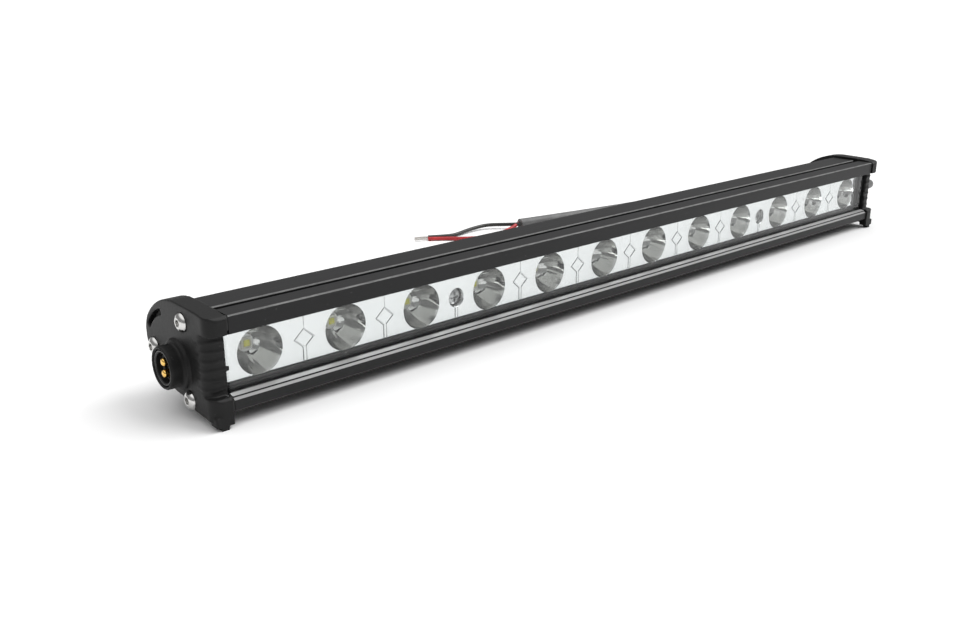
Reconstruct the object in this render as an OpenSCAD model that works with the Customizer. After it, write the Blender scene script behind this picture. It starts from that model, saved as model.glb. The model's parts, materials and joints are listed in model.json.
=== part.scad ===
// LED light bar: a black extruded housing with a row of mirror cups behind a clear
// lens, closed by two cast end caps that carry the pivot bosses and link sockets.
// +X runs along the bar, the light shines towards -Y, and +Z is up. The origin is
// on the standing surface, under the middle of the bar.

/* [LED row] */
// Distance from one LED to the next
led_pitch = 30; // [30:0.5:34]
// How many LEDs the row has
led_count = 12; // [12]
// Height of the LED axis above the standing surface
led_axis_z = 18.6; // [18.6]
// Mouth radius of one mirror cup
cup_r = 7.5; // [7:0.1:7.6]

/* [Housing] */
// Length of the extrusion
housing_len = 354.4; // [354.4:0.4:400]
// Front face of the extrusion
front_y = -19.4; // [-19.6:0.1:-19]
// Height of the extrusion's flat top
top_z = 33.3; // [33:0.1:33.6]
// Half the height of the window between the two front lips
window_half = 9.2; // [9:0.1:9.3]
// Thickness of the clear lens
lens_t = 1.5; // [1.2:0.1:1.6]

/* [End caps] */
// Thickness of a cap, from its inner face to its side face
cap_t = 6.2; // [6:0.1:7]
// Radius of the pivot boss
boss_r = 6.5; // [6.4:0.1:6.8]
// How far the boss stands out of the side face
boss_len = 5.3; // [5:0.1:6.6]
// Horizontal ribs on the front of a cap
rib_count = 6; // [4:1:7]

/* [Driver] */
// Length of the driver's circuit board
driver_len = 124; // [120:2:160]

/* [Supply lead] */
// Radius of the lead's outer sheath
lead_r = 2.5; // [2.2:0.1:2.6]
// Radius of one insulated core
core_r = 0.9; // [0.8:0.05:1]

/* [Hidden] */
$fn = 48;
eps = 0.01;
gasket_t = 0.8;
housing_x = housing_len / 2;
cap_in = housing_x + gasket_t;
cap_out = cap_in + cap_t;
cap_front = -20;
band_y = -17.2;
corner_r = 3.4;
top_edge = 0.4;
boss_tip = cap_out + boss_len;

// stack of layers behind the window, from the lens to the web
lens_front = -15.9;
strip_y = -13.8;
strip_t = 1.4;
strip_half = 8.2;
flat_half = 7;
board_front = -5.2;
board_t = 1.6;
web_front = -3.1;
web_back = -1;
cup_depth = board_front - 0.1 - strip_y;

// rear chamber that holds the driver
chamber_back = 9.5;
chamber_low = 12.6;
chamber_high = 26.5;
driver_front = 0.4;

// end screws, pivot boss and tilt slot, as [y, z] on the side face
screw_spots = [[-5.2, 29.3], [14.6, 16.8], [-6.4, 6]];
boss_at = [-0.5, 15.4];
slot_at = [4, 13.5];
pin_gap = 3.5;
pin_r = 1.2;

// round back of the section: a flat top arc, a tight back arc and its mirror image
arc_top = [-1, 9];
arc_back = [10.55, 20];
arc_low = [-1, 31];
arc_top_r = 25.4;
arc_back_r = 9.45;
arc_turn = atan2(arc_back[1] - arc_top[1], arc_back[0] - arc_top[0]);

// T-slot rail under the rear of the housing
rail_mid = 3.5;
rail_half = 6.7;
slot_half = 2.8;
channel_half = 4.3;

strip_screws = [-3 * led_pitch, 3 * led_pitch];
board_screws_x = [-5 * led_pitch, -led_pitch, led_pitch, 5 * led_pitch];

// route of the supply lead from its plug to the end of the sheath, on the table
lead_route = [[206, -0.5, 15.4], [214, -0.2, 15], [226, 7, 12], [232, 22, 7], [230, 42, 3],
              [214, 62, 2.6], [186, 74, 2.6], [150, 81, 2.6], [110, 86, 2.6], [72, 92, 2.6],
              [47, 96.5, 2.6]];
black_route = [[47, 95.4, 2.6], [42, 101, 2.2], [34, 107, 2], [24, 107.8, 1.5],
               [12, 106, 1], [5, 107.8, 1], [-1, 111, 1]];
red_route = [[47, 97.6, 2.6], [40, 96.2, 1.2], [30, 93.4, 1], [19, 93, 1], [11, 97, 1],
             [4, 103, 1], [-3, 108.6, 1]];

function led_x(i) = (i - (led_count - 1) / 2) * led_pitch;
// points of an arc from its first angle up to the step before its last one
function arc(c, r, from, to, steps) =
    [for (i = [0:steps - 1]) c + r * [cos(from + (to - from) * i / steps),
                                      sin(from + (to - from) * i / steps)]];
function round_back(inset) =
    concat(arc(arc_low, arc_top_r - inset, -90, -arc_turn, 10),
           arc(arc_back, arc_back_r - inset, -arc_turn, arc_turn, 12),
           arc(arc_top, arc_top_r - inset, arc_turn, 90, 10),
           [[arc_top[0], arc_top[1] + arc_top_r - inset]]);

// draws a [y, z] outline and runs it along the bar from x0 to x1
module along_x(x0, x1) {
    translate([x0, 0, 0]) rotate([90, 0, 90]) linear_extrude(height = x1 - x0) children();
}

// a round bar along X at [y, z]
module rod_x(spot, x0, x1, r) {
    translate([x0, spot[0], spot[1]]) rotate([0, 90, 0]) cylinder(r = r, h = x1 - x0);
}

// a round bar along Y at [x, z]
module rod_y(x, z, y0, y1, r) {
    translate([x, y1, z]) rotate([90, 0, 0]) cylinder(r = r, h = y1 - y0);
}

// a box from its low corner to its high corner
module block(low, high) {
    translate(low) cube(high - low);
}

// swept round cord along a smooth curve through the route's points
function curve(a, b, c, d, t) =
    0.5 * (2 * b + (c - a) * t + (2 * a - 5 * b + 4 * c - d) * t * t
           + (3 * b - a - 3 * c + d) * t * t * t);
function smooth_path(p, steps) =
    let (last = len(p) - 1)
    concat([for (i = [0:last - 1], j = [0:steps - 1])
            curve(p[max(i - 1, 0)], p[i], p[i + 1], p[min(i + 2, last)], j / steps)],
           [p[last]]);
function unit(v) = v / norm(v);
function ring(path, i, r, sides) =
    let (t = unit(path[min(i + 1, len(path) - 1)] - path[max(i - 1, 0)]),
         side = unit(cross([0, 0, 1], t)),
         up = cross(t, side))
    [for (k = [0:sides - 1]) path[i] + r * (cos(360 * k / sides) * side
                                            + sin(360 * k / sides) * up)];
module cord(route, r, steps, sides) {
    path = smooth_path(route, steps);
    rings = len(path);
    pts = [for (i = [0:rings - 1]) each ring(path, i, r, sides)];
    walls = [for (i = [0:rings - 2], k = [0:sides - 1])
             let (n = (k + 1) % sides)
             [i * sides + k, i * sides + n, (i + 1) * sides + n, (i + 1) * sides + k]];
    start = [[for (k = [sides - 1:-1:0]) k]];
    end = [[for (k = [0:sides - 1]) (rings - 1) * sides + k]];
    polyhedron(points = pts, faces = concat(walls, start, end));
}

module housing_section() {
    difference() {
        union() {
            polygon([[front_y, 5], [front_y + 0.8, 4.2], [2, 4.2], [2, 29], [1.4, top_z],
                     [front_y + top_edge, top_z], [front_y, top_z - top_edge]]);
            polygon(round_back(2.4));
            translate(screw_spots[1]) circle(r = 3.2);
            translate([rail_mid - rail_half, 0]) square([2 * rail_half, 12]);
        }
        // window, lens seat and reflector bay
        translate([front_y - 1, led_axis_z - window_half]) square([6, 2 * window_half]);
        translate([-16.6, led_axis_z - 10.4]) square([2.3, 20.8]);
        translate([-14.4, led_axis_z - 8.5]) square([web_front + 14.4, 17]);
        // bracket groove along the top
        translate([-12.3, top_z - 2.2]) square([2.6, 3]);
        // driver chamber with two grooves for the board's edges
        translate([web_back, chamber_low]) square([chamber_back - web_back,
                                                   chamber_high - chamber_low]);
        translate([driver_front - 0.1, chamber_low - 1]) square([1.8, chamber_high
                                                                 - chamber_low + 2]);
        // gaps between the cooling fins
        for (z = [10.4, 13.9, 22.6, 26.1]) {
            translate([11.6, z - 1]) square([10, 2]);
        }
        for (spot = screw_spots) {
            translate(spot) circle(r = 1.3);
        }
        // T-slot of the rail
        translate([rail_mid - slot_half, -1]) square([2 * slot_half, 3]);
        translate([rail_mid - channel_half, 1.4]) square([2 * channel_half, 4.4]);
    }
}

module housing() {
    color("#26272a") difference() {
        along_x(-housing_x, housing_x) housing_section();
        for (x = strip_screws) {
            rod_y(x, led_axis_z, web_front - 1, web_back + 1, 1.5);
        }
        for (x = board_screws_x) {
            rod_y(x, led_axis_z, web_front - 1, web_back + 1, 1.25);
        }
        for (x = [-2.5, 2.5]) {
            rod_y(x, led_axis_z, web_front - 1, web_back + 1, 1.2);
        }
    }
}

module lens() {
    color("#dfe8ee", 0.35)
    block([-housing_x + 0.6, lens_front, led_axis_z - 10.1],
          [housing_x - 0.6, lens_front + lens_t, led_axis_z + 10.1]);
}

// two strips that seal the lens against the lips of the window
module lens_gasket() {
    color("#151515") difference() {
        block([-housing_x + 0.6, lens_front - 0.7, led_axis_z - 10.1],
              [housing_x - 0.6, lens_front, led_axis_z + 10.1]);
        block([-housing_x, lens_front - 1, led_axis_z - window_half],
              [housing_x, lens_front + 1, led_axis_z + window_half]);
    }
}

// inside of one mirror cup, as a solid to be cut away
module cup_inside() {
    rotate([90, 0, 0]) rotate_extrude($fn = 64)
    polygon([[0, -eps], [2.7, -eps], [4.2, 1.1], [5.4, 2.7], [6.3, 4.7], [7, 6.6],
             [cup_r, cup_depth], [cup_r, cup_depth + 1], [0, cup_depth + 1]]);
}

module reflector() {
    color("#e8e8ea") difference() {
        union() {
            along_x(-housing_x + 1, housing_x - 1)
            polygon([[strip_y, led_axis_z - flat_half], [strip_y + 1.2, led_axis_z - strip_half],
                     [strip_y + strip_t, led_axis_z - strip_half],
                     [strip_y + strip_t, led_axis_z + strip_half],
                     [strip_y + 1.2, led_axis_z + strip_half],
                     [strip_y, led_axis_z + flat_half]]);
            for (i = [0:led_count - 1]) {
                translate([led_x(i), board_front - 0.1, led_axis_z]) rotate([90, 0, 0])
                cylinder(r1 = 4.6, r2 = 8.1, h = cup_depth - strip_t + eps);
            }
            for (x = strip_screws) {
                rod_y(x, led_axis_z, strip_y + 1, board_front, 4.2);
            }
        }
        for (i = [0:led_count - 1]) {
            translate([led_x(i), board_front - 0.1, led_axis_z]) cup_inside();
        }
        for (x = strip_screws) {
            rod_y(x, led_axis_z, strip_y - 1, strip_y + 2.6, 3.15);
            rod_y(x, led_axis_z, strip_y + 1, board_front + 1, 1.6);
        }
    }
}

// pan-head screw facing -Y, with a cross recess; seat is the y of the head's underside
module pan_screw(x, seat, head_r, head_h, shank_r, tip) {
    difference() {
        union() {
            rod_y(x, led_axis_z, seat - head_h, seat, head_r);
            rod_y(x, led_axis_z, seat - eps, tip, shank_r);
        }
        for (turn = [0, 90]) {
            translate([x, seat - head_h, led_axis_z]) rotate([0, turn, 0])
            cube([head_r, 1.8, head_r * 0.3], center = true);
        }
    }
}

module reflector_screws() {
    color("#b9bbbd") for (x = strip_screws) {
        pan_screw(x, strip_y + 2.6, 2.8, 1.8, 1.45, web_back - 0.2);
    }
}

module board_screws() {
    color("#b9bbbd") for (x = board_screws_x) {
        pan_screw(x, board_front, 2.2, 1.4, 1.2, web_back - 0.3);
    }
}

module led_board() {
    color("#f1f2ee") difference() {
        block([-housing_x + 3, board_front, led_axis_z - 7.8],
              [housing_x - 3, board_front + board_t, led_axis_z + 7.8]);
        for (x = strip_screws) {
            rod_y(x, led_axis_z, board_front - 1, board_front + 3, 1.7);
        }
        for (x = board_screws_x) {
            rod_y(x, led_axis_z, board_front - 1, board_front + 3, 1.3);
        }
        for (x = [-2.5, 2.5]) {
            rod_y(x, led_axis_z, board_front - 1, board_front + 3, 0.7);
        }
    }
}

module led_packages() {
    color("#e9e3cf") for (i = [0:led_count - 1]) {
        translate([led_x(i), board_front - 0.35, led_axis_z])
        cube([3.45, 0.7, 3.45], center = true);
    }
}

// the yellow tile that makes the light white
module phosphor_tile(x) {
    translate([x, board_front - 0.8, led_axis_z]) cube([1.9, 0.2, 1.9], center = true);
}

module led_phosphors() {
    color("#e6d435") for (i = [0:led_count - 1]) {
        phosphor_tile(led_x(i));
    }
}

module led_domes() {
    color("#f4f4e8", 0.35) for (i = [0:led_count - 1]) {
        difference() {
            translate([led_x(i), board_front - 0.7, led_axis_z]) sphere(r = 1.55);
            block([led_x(i) - 3, board_front - 0.7, led_axis_z - 3],
                  [led_x(i) + 3, board_front + 3, led_axis_z + 3]);
            phosphor_tile(led_x(i));
        }
    }
}

module thermal_pad() {
    color("#8f9aa6") difference() {
        block([-housing_x + 4, board_front + board_t, led_axis_z - 7.4],
              [housing_x - 4, web_front, led_axis_z + 7.4]);
        for (x = concat(strip_screws, board_screws_x)) {
            rod_y(x, led_axis_z, board_front, web_front + 1, 2.2);
        }
        for (x = [-2.5, 2.5]) {
            rod_y(x, led_axis_z, board_front, web_front + 1, 1.2);
        }
    }
}

module board_wires() {
    color("#b02020") for (x = [-2.5, 2.5]) {
        rod_y(x, led_axis_z, board_front - 0.3, driver_front, 0.7);
    }
}

module driver_board() {
    color("#1f6b3a")
    block([-driver_len / 2, driver_front, chamber_low - 0.9],
          [driver_len / 2, driver_front + 1.6, chamber_high + 0.9]);
}

module driver_choke() {
    color("#3b3b3b") difference() {
        rod_y(-24, 19.8, driver_front + 1.6, 7.4, 5.2);
        rod_y(-24, 19.8, 3.2, 6.2, 6);
    }
    color("#a8582a") rod_y(-24, 19.8, 3.2, 6.2, 4.6);
}

module driver_capacitors() {
    color("#2a3b6e") for (x = [18, 27]) {
        rod_y(x, 19.8, driver_front + 1.6, 9.1, 3.15);
    }
}

module driver_chips() {
    color("#1b1b1b") {
        block([-8, driver_front + 1.6, 17.3], [-3, driver_front + 3.2, 22.3]);
        block([2, driver_front + 1.6, 15], [8, driver_front + 3.4, 19]);
        block([2, driver_front + 1.6, 21], [6, driver_front + 3, 24]);
        block([-40, driver_front + 1.6, 17], [-35, driver_front + 3.2, 22]);
        block([36, driver_front + 1.6, 17], [41, driver_front + 3.2, 22]);
    }
}

module driver_terminals() {
    color("#e8e6dc") for (x = [-56, 56]) {
        difference() {
            block([x - 4, driver_front + 1.6, 12.9 + eps], [x + 4, 7, 19.4]);
            for (z = [-1, 1]) {
                rod_x([4.5, boss_at[1] + z * pin_gap / 2], x - 5, x + 5, 0.8);
            }
        }
    }
}

// the two inner wires of one end, drawn for the left end
module inner_wires() {
    for (s = [-1, 1]) {
        z = boss_at[1] + s * pin_gap / 2;
        rod_x([4.5, z], -cap_in - 2, -52, 0.8);
        translate([-cap_in - 2, boss_at[0], z]) rotate([-90, 0, 0])
        cylinder(r = 0.8, h = 4.5 - boss_at[0]);
        translate([-cap_in - 2, 4.5, z]) sphere(r = 0.8);
        translate([-cap_in - 2, boss_at[0], z]) sphere(r = 0.8);
        rod_x([boss_at[0], z], -cap_out + 3, -cap_in - 2, 0.8);
    }
}

module link_wires() {
    color("#202020") inner_wires();
}

module feed_wires() {
    color("#202020") mirror([1, 0, 0]) inner_wires();
}

module cap_outline() {
    polygon(concat([[cap_front, 2.4], [-8, 3.2]], round_back(0),
                   [[-14, 34.2], [cap_front, 33.4]]));
}

// one horizontal layer of a cap, with a round corner between its front and its side face
module cap_layer(z0, z1, front) {
    translate([0, 0, z0]) linear_extrude(height = z1 - z0)
    polygon(concat(arc([-cap_out + corner_r, front + corner_r], corner_r, -180, -90, 8),
                   [[-cap_out + corner_r, front], [-cap_in, front], [-cap_in, 22],
                    [-cap_out, 22]]));
}

module cap_blank() {
    low = led_axis_z - window_half;
    high = led_axis_z + window_half;
    step = (high - low) / (2 * rib_count + 1);
    intersection() {
        along_x(-cap_out, -cap_in) cap_outline();
        union() {
            cap_layer(0, low, cap_front);
            cap_layer(low, high, band_y);
            cap_layer(high, 40, cap_front);
        }
    }
    // ribs across the recessed band, from its corner to the inner face
    for (i = [1:rib_count]) {
        z = low + (2 * i - 1) * step;
        block([-cap_out + 2.6, band_y - 0.4, z], [-cap_in, band_y + 1, z + step]);
    }
    // small locating clip that reaches into the window, and the front foot
    block([-cap_in - 1, band_y, 16.5], [-cap_in + 1, -16.7, 17.9]);
    block([-cap_out + 0.5, cap_front, 1.2], [-cap_in, -16.4, 4]);
    block([-cap_out + 2.2, cap_front, 0], [-cap_in - 1.7, -17.6, 2]);
    rod_x(boss_at, -cap_out - 1.2, -cap_out + 1, boss_r + 1.1);
    rod_x(boss_at, -boss_tip, -cap_out + 1, boss_r);
}

// end cap drawn for the left end
module end_cap() {
    difference() {
        cap_blank();
        rod_x(boss_at, -boss_tip - 1, -cap_in + 1, 5.5);
        block([-cap_in - 3.6, web_back, chamber_low], [-cap_in + 1, 8.5, 22]);
        for (spot = screw_spots) {
            rod_x(spot, -cap_out - 3, -cap_in + 1, 1.6);
        }
        translate([-cap_out + 2.2, slot_at[0], slot_at[1]]) rotate([0, -90, 0]) rotate([0, 0, 15])
        rotate_extrude(angle = 40) translate([15.3, 0]) square([1.8, 3.2]);
    }
}

module end_cap_left() {
    color("#1d1e20") end_cap();
}

module end_cap_right() {
    color("#1d1e20") mirror([1, 0, 0]) end_cap();
}

// flat seal between the housing's end and a cap, drawn for the left end
module end_gasket() {
    along_x(-cap_in, -housing_x) difference() {
        polygon(concat([[front_y + 0.15, 4.9], [front_y + 0.7, 4.4]], round_back(2.6),
                       [[front_y + 0.7, top_z - 0.15], [front_y + 0.15, top_z - 0.7]]));
        translate([front_y - 1, led_axis_z - 10.4]) square([5.2, 20.8]);
        translate([-14.5, led_axis_z - 8.5]) square([11.4, 17]);
        translate([-12.6, top_z - 2.5]) square([3.2, 3]);
        translate([web_back, chamber_low]) square([9.5, 13.9]);
        for (spot = screw_spots) {
            translate(spot) circle(r = 1.7);
        }
        translate([12, 14]) square([8, 8]);
    }
}

module end_gasket_left() {
    color("#0f0f0f") end_gasket();
}

module end_gasket_right() {
    color("#0f0f0f") mirror([1, 0, 0]) end_gasket();
}

// button-head socket screws of one end, drawn for the left end
module end_screws() {
    for (spot = screw_spots) {
        translate([-cap_out, spot[0], spot[1]]) rotate([0, -90, 0]) difference() {
            union() {
                rotate_extrude() polygon([[0, 0], [2.85, 0], [2.85, 0.35], [2.6, 0.85],
                                          [2.1, 1.3], [1.4, 1.6], [0, 1.65]]);
                translate([0, 0, -16]) cylinder(r = 1.25, h = 16.1);
            }
            translate([0, 0, 0.5]) cylinder(r = 1.16, h = 2, $fn = 6);
        }
    }
}

module end_screws_left() {
    color("#c9cacc") end_screws();
}

module end_screws_right() {
    color("#c9cacc") mirror([1, 0, 0]) end_screws();
}

// two-pin socket in a boss, drawn for the left end
module link_socket() {
    difference() {
        rod_x(boss_at, -boss_tip + 0.4, -cap_in - 3.6, 5.4);
        rod_x(boss_at, -boss_tip - 1, -boss_tip + 3.4, 4.6);
        for (s = [-1, 1]) {
            rod_x([boss_at[0], boss_at[1] + s * pin_gap / 2], -boss_tip, -cap_in, pin_r);
        }
    }
}

module socket_pins() {
    for (s = [-1, 1]) {
        rod_x([boss_at[0], boss_at[1] + s * pin_gap / 2], -boss_tip + 0.2, -cap_out + 3,
              pin_r);
    }
}

module socket_seal() {
    difference() {
        rod_x(boss_at, -boss_tip + 2.2, -boss_tip + 3.4, 4.6);
        rod_x(boss_at, -boss_tip, -boss_tip + 4, 3.9);
    }
}

module link_socket_left() {
    color("#17181a") link_socket();
}

module link_socket_right() {
    color("#17181a") mirror([1, 0, 0]) link_socket();
}

module socket_pins_left() {
    color("#d8a133") socket_pins();
}

module socket_pins_right() {
    color("#d8a133") mirror([1, 0, 0]) socket_pins();
}

module socket_seal_left() {
    color("#3a3b3d") socket_seal();
}

module socket_seal_right() {
    color("#3a3b3d") mirror([1, 0, 0]) socket_seal();
}

// moulded plug of the supply lead, seated in the right socket
module lead_plug() {
    color("#141414") difference() {
        union() {
            rod_x(boss_at, boss_tip - 3.3, boss_tip + 0.1, 3.8);
            rod_x(boss_at, boss_tip + 0.1, boss_tip + 7, 6);
            translate([boss_tip + 7, boss_at[0], boss_at[1]]) rotate([0, 90, 0])
            cylinder(r1 = 5.4, r2 = 3.6, h = 206 - boss_tip - 7);
        }
        for (s = [-1, 1]) {
            rod_x([boss_at[0], boss_at[1] + s * pin_gap / 2], boss_tip - 4, boss_tip + 0.2,
                  pin_r + 0.05);
        }
        for (x = [boss_tip + 9, boss_tip + 11.4, boss_tip + 13.8]) {
            difference() {
                rod_x(boss_at, x, x + 1, 7);
                rod_x(boss_at, x - 1, x + 2, 3.1);
            }
        }
    }
}

// knurled coupling ring that holds the plug
module plug_grip() {
    color("#1c1c1c") difference() {
        rod_x(boss_at, boss_tip + 0.1, boss_tip + 6.4, 7.2);
        rod_x(boss_at, boss_tip - 1, boss_tip + 8, 6.05);
        for (k = [0:15]) {
            translate([0, boss_at[0], boss_at[1]]) rotate([k * 22.5, 0, 0])
            block([boss_tip - 1, 6.8, -0.5], [boss_tip + 5.4, 8, 0.5]);
        }
    }
}

module supply_lead() {
    color("#1b1b1b") cord(lead_route, lead_r, 3, 10);
}

module black_core() {
    color("#222222") cord(black_route, core_r, 2, 8);
}

module red_core() {
    color("#b3161c") cord(red_route, core_r, 2, 8);
}

// bare tinned ends of the two cores
module core_tips() {
    color("#c8c4b8") {
        cord([[-1, 111, 1], [-4, 112.6, 1], [-7, 114, 1]], 0.55, 1, 8);
        cord([[-3, 108.6, 1], [-6, 110.2, 1], [-9, 111.4, 1]], 0.55, 1, 8);
    }
}

housing();
lens();
lens_gasket();
reflector();
reflector_screws();
led_board();
led_packages();
led_phosphors();
led_domes();
board_screws();
thermal_pad();
board_wires();
driver_board();
driver_choke();
driver_capacitors();
driver_chips();
driver_terminals();
link_wires();
feed_wires();
end_cap_left();
end_cap_right();
end_gasket_left();
end_gasket_right();
end_screws_left();
end_screws_right();
link_socket_left();
link_socket_right();
socket_pins_left();
socket_pins_right();
socket_seal_left();
socket_seal_right();
lead_plug();
plug_grip();
supply_lead();
black_core();
red_core();
core_tips();
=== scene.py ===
import json
from math import atan2, cos, degrees, pi, radians, sin, sqrt, tan

import bmesh
import bpy
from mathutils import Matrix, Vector
from mathutils.geometry import tessellate_polygon


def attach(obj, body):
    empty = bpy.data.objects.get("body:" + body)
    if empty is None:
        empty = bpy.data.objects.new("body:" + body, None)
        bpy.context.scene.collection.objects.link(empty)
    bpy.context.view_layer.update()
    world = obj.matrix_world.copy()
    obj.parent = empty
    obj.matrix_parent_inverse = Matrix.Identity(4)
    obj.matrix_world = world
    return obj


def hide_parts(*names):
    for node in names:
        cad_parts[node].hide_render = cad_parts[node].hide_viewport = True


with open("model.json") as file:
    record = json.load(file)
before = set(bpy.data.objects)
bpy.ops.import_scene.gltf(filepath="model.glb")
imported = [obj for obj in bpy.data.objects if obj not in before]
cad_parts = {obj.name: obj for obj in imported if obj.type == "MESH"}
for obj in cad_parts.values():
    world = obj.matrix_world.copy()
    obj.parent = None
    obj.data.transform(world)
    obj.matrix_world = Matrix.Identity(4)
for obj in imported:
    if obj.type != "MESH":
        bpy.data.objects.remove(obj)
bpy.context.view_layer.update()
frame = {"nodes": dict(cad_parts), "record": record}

mm = 0.001
cadNodes = frame["nodes"]

benchCamera = {"lens": 37.70, "sensor": 36.0, "yaw": 41.966, "pitch": 18.922,
               "place": (-0.30008, -0.25927, 0.12134)}


def addCamera(spec):
    data = bpy.data.cameras.new("benchCamera")
    data.lens = spec["lens"]
    data.sensor_width = spec["sensor"]
    data.sensor_fit = "HORIZONTAL"
    data.clip_start = 0.005
    data.clip_end = 60
    cam = bpy.data.objects.new("benchCamera", data)
    bpy.context.collection.objects.link(cam)
    cam.location = spec["place"]
    cam.rotation_euler = (radians(90 - spec["pitch"]), 0, radians(-spec["yaw"]))
    bpy.context.scene.camera = cam


addCamera(benchCamera)
print("camera set")


class Value:  # a socket that takes part in sums
    def __init__(self, shader, socket):
        self.shader, self.socket = shader, socket

    def calc(self, operation, other, flip=False):
        pair = [other, self] if flip else [self, other]
        return self.shader.add("ShaderNodeMath", {"operation": operation}, dict(enumerate(pair)))

    def __add__(self, other): return self.calc("ADD", other)
    def __radd__(self, other): return self.calc("ADD", other, True)
    def __sub__(self, other): return self.calc("SUBTRACT", other)
    def __rsub__(self, other): return self.calc("SUBTRACT", other, True)
    def __mul__(self, other): return self.calc("MULTIPLY", other)
    def __rmul__(self, other): return self.calc("MULTIPLY", other, True)
    def __pow__(self, other): return self.calc("POWER", other)


class Shader:
    def __init__(self, tree, coords="Object"):
        self.tree = tree
        self.tree.nodes.clear()
        self.place = self.add("ShaderNodeTexCoord", out=coords)

    def add(self, kind, settings=None, sockets=None, out=0):
        node = self.tree.nodes.new(kind)
        for key, value in (settings or {}).items():
            setattr(node, key, value)
        for key, value in (sockets or {}).items():
            if isinstance(value, Value):
                self.tree.links.new(value.socket, node.inputs[key])
            else:
                node.inputs[key].default_value = value
        return Value(self, node.outputs[out]) if node.outputs else None

    # noise whose features are counted per millimetre along each axis
    def noise(self, perMm, detail=2.0, rough=0.5):
        spread = self.add("ShaderNodeMapping", None, {
            "Vector": self.place, "Scale": [1000 * s for s in perMm]})
        return self.add("ShaderNodeTexNoise", None, {
            "Vector": spread, "Scale": 1.0, "Detail": detail, "Roughness": rough})

    def ramp(self, value, low, high, start=0.0, end=1.0):
        return self.add("ShaderNodeMapRange", {"interpolation_type": "SMOOTHSTEP"}, {
            "Value": value, "From Min": low, "From Max": high, "To Min": start, "To Max": end})

    # one between two rising edges and nothing outside them
    def band(self, value, low, lowEnd, high, highEnd):
        return self.ramp(value, low, lowEnd) * (1 - self.ramp(value, high, highEnd))

    def mixColour(self, factor, first, second):
        return self.add("ShaderNodeMix", {"data_type": "RGBA"},
                        {0: factor, 6: first, 7: second}, out=2)

    def axis(self, which):
        return self.add("ShaderNodeSeparateXYZ", None, {0: self.place}, out=which) * 1000

    def bump(self, height, depth):
        return self.add("ShaderNodeBump", None, {"Height": height, "Distance": depth * mm})

    def surface(self, **sockets):
        named = {key.replace("_", " "): value for key, value in sockets.items()}
        return self.add("ShaderNodeBsdfPrincipled", None, named)

    def finish(self, surface, kind="ShaderNodeOutputMaterial"):
        self.add(kind, None, {"Surface": surface})


def newShader(name):
    material = bpy.data.materials.new(name)
    material.use_nodes = True
    return material, Shader(material.node_tree)


def tone(level, tint=(1, 1, 1)):
    return (level * tint[0], level * tint[1], level * tint[2], 1)


# mottled finish used for most pieces: two tones, uneven gloss and a fine grain
def mottled(name, low, high, rough, grain=4.0, depth=0.02, cloud=0.12):
    material, s = newShader(name)
    patches = s.noise((cloud, cloud, cloud), 4, 0.6)
    fine = s.noise((grain, grain, grain), 3, 0.55)
    s.finish(s.surface(
        Base_Color=s.mixColour(s.ramp(patches * 0.6 + fine * 0.4, 0.35, 0.65), low, high),
        Roughness=rough + (patches - 0.5) * 0.1 + (fine - 0.5) * 0.1,
        Normal=s.bump(fine, depth)))
    return material


# the two ledge greys and the edge grey are painted highlight, and the four step positions bound
# a painted shade line
anodising = {"dark": tone(0.0075, (1, 1, 1.06)), "light": tone(0.0125, (1, 1, 1.05)),
             "ledgeHighlightDark": tone(0.30), "ledgeHighlightLight": tone(0.52), "rough": 0.42, "lines": 2.6,
             "fineLines": 9.0, "edgeHighlight": tone(0.15), "stepShadeEdges": (-18.68, -18.62, -18.46, -18.42)}


def anodised(spec):
    material, s = newShader("blackAnodised")
    drawn = s.noise((0.006, spec["lines"], spec["lines"]), 3, 0.6)
    fine = s.noise((0.02, spec["fineLines"], spec["fineLines"]), 2, 0.6)
    patches = s.noise((0.02, 0.09, 0.09), 4, 0.6)
    grain = s.noise((7, 7, 7), 2)
    dust = s.ramp(s.noise((0.9, 0.9, 0.9), 1, 0.4), 0.76, 0.82)
    rub = s.ramp(s.noise((0.05, 0.5, 0.5), 5, 0.7), 0.58, 0.8)
    colour = s.mixColour(patches * 0.6 + drawn * 0.4, spec["dark"], spec["light"])
    colour = s.mixColour(dust * 0.35 + rub * 0.12, colour, tone(0.09))
    y, z = s.axis(1), s.axis(2)
    # painted highlight: light grey lines on the ledge under the window and, dimmer, on the
    # chamfer below it, parted by a painted shade line on the step between them
    stepFront, stepFrontEnd, stepBack, stepBackEnd = spec["stepShadeEdges"]
    ledgeHighlight = s.band(z, 7.98, 8.04, 9.5, 9.7) * (1 - s.ramp(y, -16.6, -16.4))
    ledgeHighlight = ledgeHighlight * (s.ramp(y, stepBack, stepBackEnd)
                     + 0.62 * (1 - s.ramp(y, stepFront, stepFrontEnd)))
    # painted highlight: a patchy light grey line along the top front edge and the groove's rear
    # edge
    edgeHighlight = s.ramp(s.noise((0.25, 2, 2), 4, 0.7), 0.3, 0.6, 0.35, 1.0) * s.ramp(z, 32.86, 32.92)
    edgeHighlight = edgeHighlight * (1 - s.band(y, -19.02, -18.94, -9.76, -9.72) - s.ramp(y, -9.3, -9.24))
    colour = s.mixColour(edgeHighlight, colour, spec["edgeHighlight"])
    colour = s.mixColour(ledgeHighlight, colour, s.mixColour(drawn, spec["ledgeHighlightDark"], spec["ledgeHighlightLight"]))
    s.finish(s.surface(
        Base_Color=colour, Specular_IOR_Level=0.24, Metallic=ledgeHighlight * 0.3,
        Roughness=spec["rough"] + (drawn - 0.5) * 0.16 + (patches - 0.5) * 0.12 + dust * 0.2,
        Normal=s.bump(drawn * 0.5 + fine * 0.3 + grain * 0.2, 0.012)))
    return material


powderCoat = {"dark": tone(0.005), "light": tone(0.010), "rough": 0.46, "peel": 0.9}


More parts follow.
